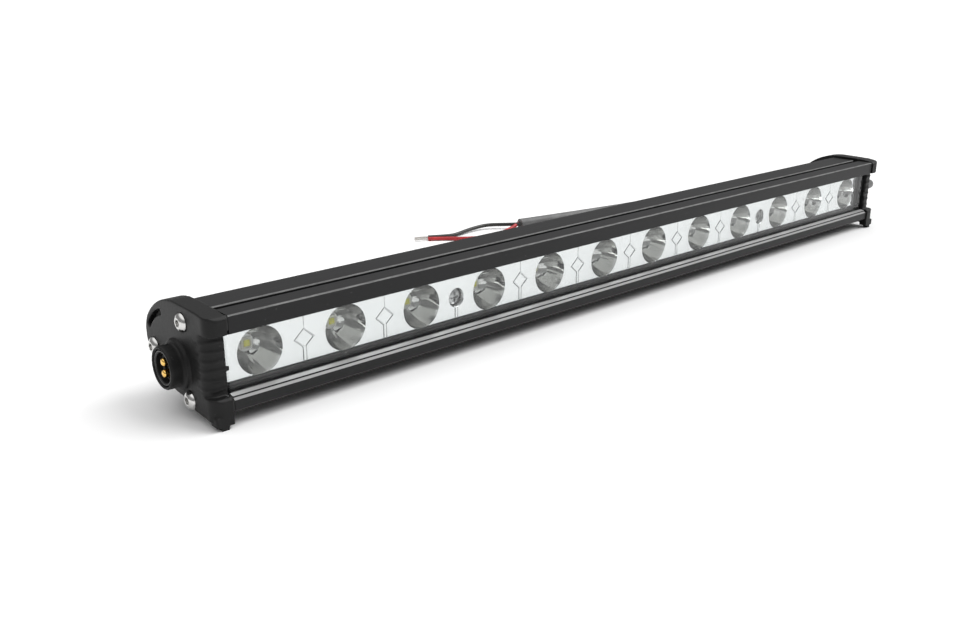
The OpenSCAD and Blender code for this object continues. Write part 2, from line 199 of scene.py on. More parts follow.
def powderCoated(spec):
    material, s = newShader("blackCast")
    peel = s.noise([spec["peel"]] * 3, 2, 0.45)
    grain = s.noise((5, 5, 5), 2)
    patches = s.noise((0.1, 0.1, 0.1), 4, 0.6)
    dust = s.ramp(s.noise((1.3, 1.3, 1.3), 1, 0.4), 0.74, 0.8)
    scuff = s.ramp(s.noise((0.4, 0.4, 1.6), 5, 0.7), 0.62, 0.8)
    colour = s.mixColour(patches, spec["dark"], spec["light"])
    s.finish(s.surface(
        Base_Color=s.mixColour(dust * 0.3 + scuff * 0.15, colour, tone(0.08)),
        Roughness=spec["rough"] + (patches - 0.5) * 0.14 + (grain - 0.5) * 0.1 + scuff * 0.12,
        Specular_IOR_Level=0.22, Normal=s.bump(peel * 0.8 + grain * 0.2, 0.04)))
    return material


def mirrorPlated():
    material, s = newShader("mirrorPlating")
    wave = s.noise((0.22, 0.22, 0.22), 3, 0.55)
    pebble = s.noise((1.6, 1.6, 1.6), 3, 0.6)
    haze = s.noise((0.5, 0.5, 0.5), 4, 0.65)
    speck = s.ramp(s.noise((1.1, 1.1, 1.1), 1, 0.4), 0.74, 0.8)
    # painted shade: the plating inside the cups gets a darker tone than the flat face, so the
    # cups look darker
    inCup = s.ramp(s.axis(1), -13.5, -12.4)
    plate = s.mixColour(inCup, tone(0.78), tone(0.52, (1, 1, 0.97)))
    s.finish(s.surface(
        Base_Color=s.mixColour(speck * 0.5 + haze * 0.15, plate, tone(0.5, (1, 1, 0.98))),
        Metallic=1.0, Roughness=0.035 + s.ramp(haze, 0.45, 0.8) * 0.07 + speck * 0.2,
        Normal=s.bump(wave * 0.75 + pebble * 0.25, 0.035)))
    return material


# clear sheet: sees through, and mirrors only as much as a polished plastic face does
def clearSheet(name, straight, tint, haze):
    material, s = newShader(name)
    film = s.noise((0.12, 0.12, 0.12), 5, 0.65)
    dust = s.ramp(s.noise((0.8, 0.8, 0.8), 1, 0.4), 0.75, 0.8)
    gloss = s.surface(Base_Color=s.mixColour(film, tone(0.9), tone(1.0)), Metallic=1.0,
                      Roughness=0.02 + s.ramp(film, 0.45, 0.75) * 0.05,
                      Normal=s.bump(film, 0.01))
    through = s.add("ShaderNodeBsdfTransparent", None, {"Color": tint})
    edgeOn = s.add("ShaderNodeLayerWeight", None, {"Blend": 0.5}, out=1)
    share = straight + (1 - straight) * edgeOn ** 5 + dust * 0.12 + film * haze
    s.finish(s.add("ShaderNodeMixShader", None, {0: share, 1: through, 2: gloss}))
    return material


def machined(name, low, high, rough, ring, scratch=3.0):
    material, s = newShader(name)
    patches = s.noise((0.8, 0.8, 0.8), 3, 0.6)
    marks = s.noise((scratch, scratch * 4, scratch), 3, 0.6)
    s.finish(s.surface(
        Base_Color=s.mixColour(patches * 0.6 + marks * 0.4, low, high), Metallic=1.0,
        Roughness=rough + (patches - 0.5) * 0.1 + (marks - 0.5) * ring,
        Normal=s.bump(marks * 0.6 + patches * 0.4, 0.01)))
    return material


def circuitBoard(name, mask, copper, trace):
    material, s = newShader(name)
    cells = s.add("ShaderNodeTexVoronoi", {"distance": "CHEBYCHEV", "feature": "F1"}, {
        "Vector": s.add("ShaderNodeMapping", None, {
            "Vector": s.place, "Scale": (300, 300, 300)}), "Scale": 1.0})
    tracks = s.ramp(cells, trace, trace + 0.05)
    fine = s.noise((5, 5, 5), 2)
    s.finish(s.surface(
        Base_Color=s.mixColour(tracks * 0.5, mask, copper), Roughness=0.34 + (fine - 0.5) * 0.15,
        Coat_Weight=0.3, Normal=s.bump(tracks * 0.6 + fine * 0.4, 0.03)))
    return material


def choke():
    material, s = newShader("ferriteAndCopper")
    depth = s.axis(1)
    winding = s.band(depth, 3.1, 3.3, 6.1, 6.3)
    turns = s.add("ShaderNodeTexWave", {"bands_direction": "Y", "wave_profile": "SIN"}, {
        "Vector": s.place, "Scale": 900.0, "Distortion": 0.0})
    fine = s.noise((3, 3, 3), 3)
    copper = s.mixColour(turns, tone(1, (0.20, 0.07, 0.03)), tone(1, (0.62, 0.27, 0.12)))
    s.finish(s.surface(
        Base_Color=s.mixColour(winding, s.mixColour(fine, tone(0.02), tone(0.045)), copper),
        Metallic=winding * 0.9, Roughness=0.6 - winding * 0.25 + (fine - 0.5) * 0.1,
        Normal=s.bump(turns * winding + fine * 0.3, 0.08)))
    return material


finishes = {
    "black_anodised": anodised(anodising),
    "black_cast": powderCoated(powderCoat),
    "mirror_plating": mirrorPlated(),
    "clear_lens": clearSheet("clearLens", 0.035, tone(0.98, (0.99, 1, 1)), 0.01),
    "clear_dome": clearSheet("clearDome", 0.03, tone(0.97, (1, 1, 0.94)), 0.02),
    "stainless": machined("stainless", tone(0.50), tone(0.74, (1, 0.99, 0.96)), 0.17, 0.14),
    "screw_steel": machined("screwSteel", tone(0.36), tone(0.58), 0.28, 0.18),
    "gold_pin": machined("goldPin", tone(1, (0.80, 0.46, 0.10)), tone(1, (0.98, 0.66, 0.22)),
                         0.16, 0.1, 2.0),
    "tinned_copper": machined("tinnedCopper", tone(0.45, (1, 0.9, 0.8)), tone(0.68), 0.32, 0.2),
    "white_board": circuitBoard("whiteBoard", tone(0.78, (1, 1, 0.97)), tone(0.62), 0.35),
    "green_board": circuitBoard("greenBoard", tone(1, (0.012, 0.11, 0.04)),
                                tone(1, (0.05, 0.25, 0.09)), 0.35),
    "ferrite": choke(),
    "black_seal": mottled("blackSeal", tone(0.008), tone(0.018), 0.62, depth=0.03),
    "grey_seal": mottled("greySeal", tone(0.03), tone(0.055), 0.5, depth=0.02),
    "grey_pad": mottled("greyPad", tone(0.25), tone(0.36, (0.92, 1, 1.1)), 0.8, depth=0.05),
    "led_ceramic": mottled("ledCeramic", tone(0.66, (1, 0.97, 0.86)), tone(0.8, (1, 0.98, 0.9)),
                           0.45, grain=8),
    "phosphor": mottled("phosphor", tone(1, (0.58, 0.55, 0.02)), tone(1, (0.80, 0.78, 0.06)),
                        0.42, grain=14, cloud=1.5),
    "red_wire": mottled("redWire", tone(1, (0.30, 0.010, 0.014)), tone(1, (0.52, 0.025, 0.03)),
                        0.38, cloud=0.3),
    "black_wire": mottled("blackWire", tone(0.012), tone(0.028, (1, 1, 0.9)), 0.38, cloud=0.3),
    "capacitor_sleeve": mottled("capacitorSleeve", tone(1, (0.01, 0.025, 0.11)),
                                tone(1, (0.02, 0.05, 0.2)), 0.25, cloud=0.3),
    "chip_black": mottled("chipBlack", tone(0.01), tone(0.022), 0.55, grain=9),
    "terminal_white": mottled("terminalWhite", tone(0.6, (1, 0.98, 0.9)), tone(0.74), 0.5),
    "socket_black": mottled("socketBlack", tone(0.009), tone(0.018), 0.36, grain=5),
    "plug_rubber": mottled("plugRubber", tone(0.010), tone(0.022), 0.5, grain=5, depth=0.04),
    "plug_ring": mottled("plugRing", tone(0.010), tone(0.020), 0.42, grain=5, depth=0.03),
    "sheath": mottled("sheath", tone(0.09), tone(0.15), 0.5, grain=3, depth=0.04, cloud=0.2),
}
print("finishes ready:", len(finishes))


# every CAD node starts with its own slot's finish
def dressNodes():
    for row in frame["record"]["subparts"]:
        node = cadNodes[row["node"]]
        node.data.materials.clear()
        node.data.materials.append(finishes[row["material_slot"]])


dressNodes()


class Shape:  # points in millimetres and faces, grown piece by piece
    def __init__(self):
        self.points, self.faces = [], []

    def add(self, points, faces):
        base = len(self.points)
        self.points += [tuple(p) for p in points]
        self.faces += [[base + k for k in face] for face in faces]
        return self

    # rings of equal length joined in turn; caps close the two ends
    def rings(self, rows, caps=True, closed=False):
        n, count = len(rows[0]), len(rows)
        faces = []
        for i in range(count if closed else count - 1):
            j = (i + 1) % count
            for k in range(n):
                m = (k + 1) % n
                faces.append([i * n + k, i * n + m, j * n + m, j * n + k])
        if caps and not closed:
            faces.append(list(range(n))[::-1])
            faces.append([(count - 1) * n + k for k in range(n)])
        return self.add([p for row in rows for p in row], faces)

    def prism(self, outline, low, high, axis="x"):
        turn = {"x": lambda a, b, t: (t, a, b), "y": lambda a, b, t: (a, t, b),
                "z": lambda a, b, t: (a, b, t)}[axis]
        return self.rings([[turn(a, b, t) for a, b in outline] for t in (low, high)])

    def box(self, low, high):
        return self.prism([(low[1], low[2]), (high[1], low[2]), (high[1], high[2]),
                           (low[1], high[2])], low[0], high[0])

    # profile of (distance along the axis, radius); axis is (direction, side, up)
    def lathe(self, profile, centre, axis, steps=48, shape=None, closed=False):
        along, side, up = (Vector(v) for v in axis)
        rows = []
        for at, r in profile:
            row = []
            for k in range(steps):
                a = 2 * pi * k / steps
                size = max(shape(r, a) if shape else r, 0.0005)
                row.append(Vector(centre) + along * at + size * (cos(a) * side + sin(a) * up))
            rows.append(row)
        return self.rings(rows, closed=closed)


alongX = ((1, 0, 0), (0, 1, 0), (0, 0, 1))
againstX = ((-1, 0, 0), (0, -1, 0), (0, 0, 1))
againstY = ((0, -1, 0), (1, 0, 0), (0, 0, 1))


def rawObject(name, shape, weld=0.0):
    mesh = bpy.data.meshes.new(name)
    mesh.from_pydata([Vector(p) * mm for p in shape.points], [], shape.faces)
    work = bmesh.new()
    work.from_mesh(mesh)
    if weld:
        bmesh.ops.remove_doubles(work, verts=work.verts, dist=weld * mm)
    bmesh.ops.recalc_face_normals(work, faces=work.faces)
    work.to_mesh(mesh)
    work.free()
    piece = bpy.data.objects.new(name, mesh)
    bpy.context.collection.objects.link(piece)
    return piece


def smoothShade(piece, angle, weigh=True):
    mesh = piece.data
    mesh.polygons.foreach_set("use_smooth", [True] * len(mesh.polygons))
    mesh.set_sharp_from_angle(angle=radians(angle))
    if weigh:
        even = piece.modifiers.new("evenNormals", "WEIGHTED_NORMAL")
        even.keep_sharp = True
        even.weight = 80


def dress(piece, slotName, replaced=()):
    piece.data.materials.append(finishes[slotName])
    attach(piece, "root")
    if replaced:
        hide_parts(*replaced)
    return piece


def makePiece(name, shape, slotName, replaced=(), angle=34, weld=0.001, weigh=True):
    piece = rawObject(name, shape, weld)
    smoothShade(piece, angle, weigh)
    return dress(piece, slotName, replaced)


def mirrored(shape):
    return Shape().add([(-x, y, z) for x, y, z in shape.points], shape.faces)


# free cords: the supply lead comes out of its plug at the right end and lies behind the bar
leadSpec = {
    "radius": 2.5, "steps": 3, "length": 0.258,
    "route": [(206, -0.5, 15.4), (214, -0.2, 15), (226, 7, 12), (232, 22, 7), (230, 42, 3),
              (214, 62, 2.6), (186, 74, 2.6), (150, 81, 2.6), (110, 86, 2.6), (72, 92, 2.6),
              (47, 96.5, 2.6)]}
coreSpec = {
    "radius": 0.9, "steps": 3,
    "black": {"length": 0.0540, "route": [(47, 95.4, 2.6), (42, 101, 2.2), (34, 107, 2),
                                          (24, 107.8, 1.5), (12, 106, 1), (5, 107.8, 1),
                                          (-1, 111, 1)]},
    "red": {"length": 0.0558, "route": [(47, 97.6, 2.6), (40, 96.2, 1.2), (30, 93.4, 1),
                                        (19, 93, 1), (11, 97, 1), (4, 103, 1),
                                        (-3, 108.6, 1)]}}
tipSpec = {"strand": 0.2, "spread": 0.3, "strands": 5, "turns": 1.6,
           "black": [(-1, 111, 1), (-4, 112.6, 1), (-7, 114, 1)],
           "red": [(-3, 108.6, 1), (-6, 110.2, 1), (-9, 111.4, 1)]}


def curvePoint(a, b, c, d, t):
    return 0.5 * (2 * b + (c - a) * t + (2 * a - 5 * b + 4 * c - d) * t * t
                  + (3 * b - a - 3 * c + d) * t ** 3)


def smoothRoute(route, steps):
    knots = [Vector(p) for p in route]
    last = len(knots) - 1
    path = [curvePoint(knots[max(i - 1, 0)], knots[i], knots[i + 1], knots[min(i + 2, last)],
                       j / steps) for i in range(last) for j in range(steps)]
    return path + [knots[last]]


def cordCurve(name, path, radius):
    data = bpy.data.curves.new(name, "CURVE")
    data.dimensions = "3D"
    data.bevel_depth = radius * mm
    data.bevel_resolution = 6
    data.resolution_u = 6
    data.use_fill_caps = True
    spline = data.splines.new("BEZIER")
    spline.bezier_points.add(len(path) - 1)
    for i, (knot, p) in enumerate(zip(spline.bezier_points, path)):
        before, after = path[max(i - 1, 0)], path[min(i + 1, len(path) - 1)]
        reach = (after - before) / 6
        knot.co = p * mm
        knot.handle_left = (p - reach) * mm
        knot.handle_right = (p + reach) * mm
    cord = bpy.data.objects.new(name, data)
    bpy.context.collection.objects.link(cord)
    return cord


# twisted strands at a bare end
def strandTip(path, spec):
    shape = Shape()
    fine = smoothRoute(path, 8)
    for s in range(spec["strands"]):
        rows = []
        for i, p in enumerate(fine):
            ahead = (fine[min(i + 1, len(fine) - 1)] - fine[max(i - 1, 0)]).normalized()
            side = Vector((0, 0, 1)).cross(ahead).normalized()
            up = ahead.cross(side)
            a = 2 * pi * (s / spec["strands"] + spec["turns"] * i / (len(fine) - 1))
            mid = p + spec["spread"] * (cos(a) * side + sin(a) * up)
            rows.append([mid + spec["strand"] * (cos(b) * side + sin(b) * up)
                         for b in [pi * k / 4 for k in range(8)]])
        shape.rings(rows)
    return shape


boss = {"y": -0.5, "z": 15.4, "radius": 6.5, "collar": 7.6, "bore": 5.5, "pinGap": 3.5}
screwSpots = ((-5.2, 29.3), (14.6, 16.8), (-6.4, 6.0))
capSpec = {"inner": 178.0, "outer": 184.2, "tip": 189.5, "front": -20.0, "band": -17.2,
           "low": 9.4, "high": 27.8, "corner": 3.4, "voxel": 0.25, "chamfer": 0.9}
ribSpec = {"count": 6, "tall": 0.42, "half": 0.62, "fade": 4.2, "wave": 0.16, "ripple": 0.05}
plugSpec = {"start": 186.2, "seat": 189.6, "coneStart": 196.5, "end": 206.0,
            "neck": 3.8, "flange": 6.0, "coneFrom": 5.4, "coneTo": 3.6,
            "grooves": (198.5, 200.9, 203.3)}


def leadPlug(spec):
    start, seat, end, coneStart = (spec[k] for k in ("start", "seat", "end", "coneStart"))
    neck, flange = spec["neck"], spec["flange"]
    profile = [(start, 0), (start, neck - 0.3), (start + 0.3, neck), (seat, neck),
               (seat, flange - 0.1), (coneStart - 0.4, flange), (coneStart, flange - 0.4),
               (coneStart + 0.3, spec["coneFrom"])]

    def cone(x):
        share = (x - coneStart) / (end - coneStart)
        return spec["coneFrom"] + (spec["coneTo"] - spec["coneFrom"]) * share
    for g in spec["grooves"]:
        profile += [(g - 0.2, cone(g - 0.2)), (g, cone(g) - 0.25), (g + 0.1, 3.35),
                    (g + 0.9, 3.3), (g + 1, cone(g + 1) - 0.25), (g + 1.2, cone(g + 1.2))]
    profile += [(end - 0.3, cone(end - 0.3)), (end, 3.3), (end, 0)]
    return Shape().lathe(profile, (0, boss["y"], boss["z"]), alongX, 64)


gripSpec = {"low": 189.6, "high": 195.9, "outer": 7.2, "inner": 6.05, "notches": 16,
            "notchDepth": 0.4, "bevel": 0.45}


def plugGrip(spec):
    low, high, outer, inner = (spec[k] for k in ("low", "high", "outer", "inner"))

    def knurl(r, a):
        wave = abs(sin(spec["notches"] * a / 2))
        return r - (spec["notchDepth"] * max(0.0, 1 - wave * 2.2) if r > 6.5 else 0)
    profile = [(low, inner + 0.25), (low, outer - spec["bevel"]), (low + 0.4, outer),
               (high - 0.5, outer), (high, outer - spec["bevel"]), (high, inner),
               (low + 0.2, inner)]
    return Shape().lathe(profile, (0, boss["y"], boss["z"]), alongX, 192, knurl, closed=True)


def layCords():
    plug = makePiece("leadPlug", leadPlug(plugSpec), "plug_rubber", ["lead_plug"])
    grip = makePiece("plugGrip", plugGrip(gripSpec), "plug_ring", ["plug_grip"], 30)
    lead = cordCurve("supplyLead", smoothRoute(leadSpec["route"], leadSpec["steps"]),
                     leadSpec["radius"])
    dress(lead, "sheath", ["supply_lead"])
    for colour, wire in (("black", "black_wire"), ("red", "red_wire")):
        spec = coreSpec[colour]
        core = cordCurve(colour + "Core", smoothRoute(spec["route"], coreSpec["steps"]),
                         coreSpec["radius"])
        dress(core, wire, [colour + "_core"])
        tip = makePiece(colour + "Tip", strandTip(tipSpec[colour], tipSpec), "tinned_copper",
                        ["core_tips"], 60)


layCords()
print("cords laid")


# rounds the corners of a closed outline; an outline point is (y, z) or (y, z, radius)
def rounded(outline, radius, steps=3):
    out = []
    n = len(outline)
    for i in range(n):
        a, p, b = (Vector(outline[(i + k) % n][:2]) for k in (-1, 0, 1))
        r = outline[i][2] if len(outline[i]) > 2 else radius
        u, v = (a - p), (b - p)
        turn = pi - u.angle(v, 0)
        if turn < radians(24) or r <= 0:
            out.append(tuple(p))
            continue
        cut = min(r * tan(turn / 2), 0.45 * u.length, 0.45 * v.length)
        start, end = p + u.normalized() * cut, p + v.normalized() * cut
        for k in range(steps + 1):
            t = k / steps
            out.append(tuple((1 - t) ** 2 * start + 2 * t * (1 - t) * p + t * t * end))
    return out


housingSpec = {"x": 177.2, "front": -19.4, "top": 33.3, "low": 4.2, "windowLow": 9.4,
               "windowHigh": 27.8, "edge": 0.14, "topEdge": 0.4,
               "fins": ((12.9, 14.9), (21.6, 23.6), (25.1, 27.1)),
               "groove": {"front": -12.3, "rear": -9.7, "depth": 2.2, "rearEdge": 0.3},
               "rail": ((-3.2, 4.2), (-3.2, 0), (0.7, 0), (0.7, 1.4), (-0.8, 1.4), (-0.8, 5.8),
                        (7.8, 5.8), (7.8, 1.4), (6.3, 1.4), (6.3, 0), (10.2, 0))}
backSpec = {"y": -1, "radius": 23, "lowerZ": 31, "upperZ": 9, "tipY": 10.55, "tipZ": 20,
            "tipRadius": 7.05, "tipFrom": 15.14, "tipTo": 24.86, "screwBoss": 3.2}


def arcReach(middle, radius, offset):
    return middle + sqrt(max(radius ** 2 - offset ** 2, 0))


# y of the round back at height z: two wide arcs, a tighter one between them, and a screw boss
def backEdge(z, back=backSpec):
    if z < back["tipFrom"]:
        y = arcReach(back["y"], back["radius"], back["lowerZ"] - z)
    elif z < back["tipTo"]:
        y = arcReach(back["tipY"], back["tipRadius"], z - back["tipZ"])
    else:
        y = arcReach(back["y"], back["radius"], z - back["upperZ"])
    bossY, bossZ = screwSpots[1]
    if abs(z - bossZ) < back["screwBoss"]:
        y = max(y, arcReach(bossY, back["screwBoss"], z - bossZ))
    return y


def housingOutline(spec):
    f, top, edge = spec["front"], spec["top"], spec["topEdge"]
    groove = spec["groove"]
    rear, bottom = groove["rear"], top - groove["depth"]
    line = [(f + 0.8, spec["low"])] + list(spec["rail"]) + [(10.2, 10.91)]
    z, fins, step = 11.3, list(spec["fins"]), 0.3
    while z < 27.3:
        if fins and z > fins[0][0] - 0.15:
            low, high = fins.pop(0)
            line += [(backEdge(low), low), (11.6, low), (11.6, high), (backEdge(high), high)]
            z = high + step
        else:
            line.append((backEdge(z), z, 0))
            z += step
    line += [(y, arcReach(backSpec["upperZ"], backSpec["radius"], y - backSpec["y"]), 0)
             for y in (12.4, 11, 9.5, 8, 6.5, 5, 3.5, 2.4)]
    line += [(1.62, 31.85), (1.4, top), (rear + groove["rearEdge"], top, 0.1),
             (rear, top - groove["rearEdge"], 0.1), (rear, bottom), (groove["front"], bottom),
             (groove["front"], top, 0.25), (f + edge, top), (f, top - edge),
             (f, spec["windowHigh"]), (-16.6, spec["windowHigh"]), (-16.6, 29), (-14.3, 29),
             (-14.3, 27.1), (-3.1, 27.1), (-3.1, 10.1), (-14.3, 10.1), (-14.3, 8.2),
             (-16.6, 8.2), (-16.6, spec["windowLow"], 0.1), (-18.44, 9.04, 0.05),
             (-18.5, 8.62, 0.03), (-18.64, 8.6, 0.03), (f, 8.0, 0.08), (f, 5)]
    return line


def circleAt(y, z, r, steps=24):
    return [(y + r * cos(2 * pi * k / steps), z + r * sin(2 * pi * k / steps))
            for k in range(steps)]


# extrusion from an outline with holes, its two ends filled
def extrusion(outline, holes, low, high):
    shape = Shape()
    loops = [outline] + holes
    for loop in loops:
        shape.rings([[(x, y, z) for y, z in loop] for x in (low, high)], caps=False)
    flat = [p for loop in loops for p in loop]
    triangles = tessellate_polygon([[Vector((y, z, 0)) for y, z in loop] for loop in loops])
    for x in (low, high):
        shape.add([(x, y, z) for y, z in flat], [list(t) for t in triangles])
    return shape


def makeHousing(spec):
    outline = rounded(housingOutline(spec), spec["edge"])
    chamber = rounded([(-1, 12.6), (9.5, 12.6), (9.5, 26.5), (-1, 26.5)], 0.6)
    ports = [circleAt(y, z, 1.3) for y, z in screwSpots]
    shape = extrusion(outline, [chamber] + ports, -spec["x"], spec["x"])
    return makePiece("housing", shape, "black_anodised", ["housing"], 40)


makeHousing(housingSpec)
print("housing made")


# cast end cap: solids joined and cut, then remeshed so that every edge has a cast radius
def arcPoints(y, z, r, first, last, steps):
    return [(y + r * cos(radians(first + (last - first) * k / steps)),
             z + r * sin(radians(first + (last - first) * k / steps)))
            for k in range(steps + 1)]


def capOutline(spec):
    turn = degrees(atan2(11, 11.55))
    return ([(spec["front"], 2.4), (-8, 3.2)] + arcPoints(-1, 31, 25.4, -90, -turn, 14)[:-1]
            + arcPoints(10.55, 20, 9.45, -turn, turn, 18)[:-1]
            + arcPoints(-1, 9, 25.4, turn, 90, 14)
            + [(-14, 34.2), (spec["front"] + spec["chamfer"], 33.5),
               (spec["front"], 33.5 - spec["chamfer"])])


def cornerLayer(spec, front):
    corner = spec["corner"]
    arc = [(-spec["outer"] + corner - corner * cos(a), front + corner - corner * sin(a))
           for a in [pi / 2 * k / 10 for k in range(11)]]
    return arc + [(-spec["inner"], front), (-spec["inner"], 22), (-spec["outer"], 22)]


# one rib: along the band, round the corner, and fading away on the side face
def ribPath(spec, rib, z, phase):
    rows, run = [], 0.0
    corner, front, side = spec["corner"], spec["band"] + 0.1, -spec["outer"] + 0.2
    flat = [(-spec["inner"] - 0.1 * k, front) for k in range(10)]
    bend = [(side + corner - corner * sin(a), front + corner - corner * cos(a))
            for a in [pi / 2 * k / 12 for k in range(13)]]
    back = [(side, front + corner + 0.4 * k) for k in range(1, 13)]
    path = [Vector((x, y, 0)) for x, y in flat + bend + back]
    total = sum((b - a).length for a, b in zip(path, path[1:]))
    for i, p in enumerate(path):
        ahead = (path[min(i + 1, len(path) - 1)] - path[max(i - 1, 0)]).normalized()
        out = Vector((ahead.y, -ahead.x, 0))
        if out.x > 0 or (abs(out.x) < 0.01 and out.y > 0):
            out = -out
        wave = (rib["wave"] * sin(0.8 * run + phase)
                + rib["ripple"] * sin(2.1 * run + 2 * phase))
        tall = rib["tall"] * min(1.0, (total - run) / rib["fade"])
        mid = p + Vector((0, 0, z + wave))
        rows.append([mid + out * (tall * a) + Vector((0, 0, rib["half"] * b))
                     for a, b in ((-0.6, -1.1), (0.15, -1.0), (0.8, -0.62), (1, 0), (0.8, 0.62),
                                  (0.15, 1.0), (-0.6, 1.1))])
        if i < len(path) - 1:
            run += (path[i + 1] - p).length
    return rows


def booleanWith(piece, cutter, operation):
    step = piece.modifiers.new(operation.lower(), "BOOLEAN")
    step.operation = operation
    step.object = cutter
    step.solver = "EXACT"


# gives the evaluated mesh back to the piece and drops its modifiers and helpers
def settle(piece, *helpers):
    graph = bpy.context.evaluated_depsgraph_get()
    mesh = bpy.data.meshes.new_from_object(piece.evaluated_get(graph))
    piece.modifiers.clear()
    piece.data = mesh
    for helper in helpers:
        bpy.data.objects.remove(helper)


def capPart(spec, low, high, front):
    part = rawObject("capPart", Shape().prism(cornerLayer(spec, front), low, high, "z"))
    outline = rawObject("capOutline", Shape().prism(capOutline(spec), -spec["outer"],
                                                    -spec["inner"]))
    booleanWith(part, outline, "INTERSECT")
    settle(part, outline)
    mesh = part.data
    points = [tuple(v.co / mm) for v in mesh.vertices]
    faces = [list(p.vertices) for p in mesh.polygons]
    bpy.data.objects.remove(part)
    return points, faces


def capCutters(spec):
    cut = Shape()
    axis = (0, boss["y"], boss["z"])
    bore = boss["bore"]
    cut.lathe([(-spec["tip"] - 1, 0), (-spec["tip"] - 1, bore + 0.5),
               (-spec["tip"], bore + 0.35), (-spec["tip"] + 0.45, bore), (-181, bore),
               (-181, 0)], axis, alongX, 64)
    for y, z in screwSpots:
        cut.lathe([(-187, 0), (-187, 3.2), (-spec["outer"] + 0.2, 3.1),
                   (-spec["outer"] + 0.2, 0)], (0, y, z), alongX, 48)
    sector = (arcPoints(4, 13.5, 17.1, 35, 75, 20) + arcPoints(4, 13.5, 15.3, 75, 35, 20))
    cut.prism(rounded(sector, 0.85, 5), -186, -spec["outer"] + 2.2)
    edge = spec["low"] - spec["chamfer"] - 0.3
    cut.prism([(spec["front"] - 0.4, edge), (spec["front"] + 1.1, edge + 1.5),
               (spec["front"] - 0.4, edge + 1.5)], -190, -170)
    return cut


def makeCap(spec, rib):
    solid = Shape()
    for low, high, front in ((0, spec["low"] + 0.01, spec["front"]),
                             (spec["low"], spec["high"], spec["band"]),
                             (spec["high"] - 0.01, 40, spec["front"])):
        solid.add(*capPart(spec, low, high, front))
    inner, outer = spec["inner"], spec["outer"]
    step = (spec["high"] - spec["low"]) / (2 * rib["count"] + 1)
    for i in range(rib["count"]):
        z = spec["low"] + (2 * i + 1.5) * step
        solid.rings(ribPath(spec, rib, z, 1.3 + 2.1 * i))
    solid.box((-inner - 1, spec["band"] - 0.1, 16.5), (-inner + 1.1, -16.6, 17.9))
    solid.box((-outer + 0.5, spec["front"], 1.2), (-inner, -16.4, 4))
    solid.box((-outer + 2.2, spec["front"], 0), (-inner - 1.7, -17.6, 2))
    axis = (0, boss["y"], boss["z"])
    r, collar = boss["radius"], boss["collar"]
    solid.lathe([(-185.4, 0), (-185.4, collar - 0.5), (-185, collar), (-183, collar + 0.1),
                 (-183, 0)], axis, alongX, 72)
    solid.lathe([(-spec["tip"], 0), (-spec["tip"], r - 0.35), (-spec["tip"] + 0.35, r),
                 (-183, r), (-183, 0)], axis, alongX, 72)
    cap = rawObject("castCap", solid)
    blend = cap.modifiers.new("join", "REMESH")
    blend.mode = "VOXEL"
    blend.voxel_size = spec["voxel"] * mm
    settle(cap)
    cutters = rawObject("capCutters", capCutters(spec))
    booleanWith(cap, cutters, "DIFFERENCE")
    again = cap.modifiers.new("even", "REMESH")
    again.mode = "VOXEL"
    again.voxel_size = spec["voxel"] * mm
    soften = cap.modifiers.new("castRadius", "SMOOTH")
    soften.factor = 0.5
    soften.iterations = 4
    settle(cap, cutters)
    left = Shape().add([v.co / mm for v in cap.data.vertices],
                       [list(p.vertices) for p in cap.data.polygons])
    bpy.data.objects.remove(cap)
    makePiece("endCapLeft", left, "black_cast", ["end_cap_left"], 60, 0, False)
    makePiece("endCapRight", mirrored(left), "black_cast", ["end_cap_right"], 60, 0, False)
    print("cap faces:", len(left.faces))


makeCap(capSpec, ribSpec)
print("end caps made")


# reflector strip: plated moulding with a mirror cup for each LED
stripSpec = {"x": 176.2, "axis": 18.6, "face": -13.8, "flat": 7.0, "half": 8.2,
             "pitch": 30.0, "count": 12, "base": -5.3, "screws": (-90, 90), "screwCell": 5,
             "recess": 3.15, "recessDepth": 2.6, "ripple": 0.06,
             "cup": ((2.7, 0.0), (4.2, 1.1), (5.4, 2.7), (6.3, 4.7), (7.0, 6.6), (7.5, 8.5))}


def ledPlaces(spec):
    return [(i - (spec["count"] - 1) / 2) * spec["pitch"] for i in range(spec["count"])]


def faceDepth(spec, dz):
    return spec["face"] + max(abs(dz) - spec["flat"], 0)


# faint radial waves that the polished cups show
def flute(a):
    return 0.5 * sin(9 * a + 0.7) + 0.4 * sin(16 * a + 2.1) + 0.3 * sin(23 * a)


# a cell of the strip's face: rings inside the round opening, then out to a rectangle
def stripCell(shape, spec, x0, left, right, inner, ripple=0.0):
    half, flat = spec["half"], spec["flat"]
    spokes = 144
    angles = {round(2 * pi * k / spokes, 9) for k in range(spokes)}
    for side, reach in ((0, right), (pi, left)):
        for edge in (half, flat):
            a = atan2(edge, reach)
            angles |= {round((side + a) % (2 * pi), 9), round((side - a) % (2 * pi), 9)}
    rows = []
    for a in sorted(angles):
        c, s = cos(a), sin(a)
        reach = right if c > 0 else left
        far = min(reach / abs(c) if abs(c) > 1e-6 else 1e9,
                  half / abs(s) if abs(s) > 1e-6 else 1e9)
        mouth = inner[-1][0]
        crease = min(max(flat / abs(s) if abs(s) > 1e-6 else 1e9, mouth), far)
        last = len(inner) - 1
        stations = [(r + ripple * sin(pi * k / last) * flute(a), y)
                    for k, (r, y) in enumerate(inner)] + [(crease, None), (far, None)]
        line = []
        for r, y in stations:
            dz = r * s
            skin = faceDepth(spec, dz)
            line.append((x0 + r * c, skin if y is None else max(skin, y), spec["axis"] + dz))
        edge = line[-1]
        if abs(abs(edge[2] - spec["axis"]) - half) < 1e-4:
            line.append((edge[0], spec["face"] + 1.5, edge[2]))
        else:
            line.append(edge)
        rows.append(line)
    n, m = len(rows), len(rows[0])
    faces = [[i * m + k, ((i + 1) % n) * m + k, ((i + 1) % n) * m + k + 1, i * m + k + 1]
             for i in range(n) for k in range(m - 1)]
    shape.add([p for row in rows for p in row], faces)


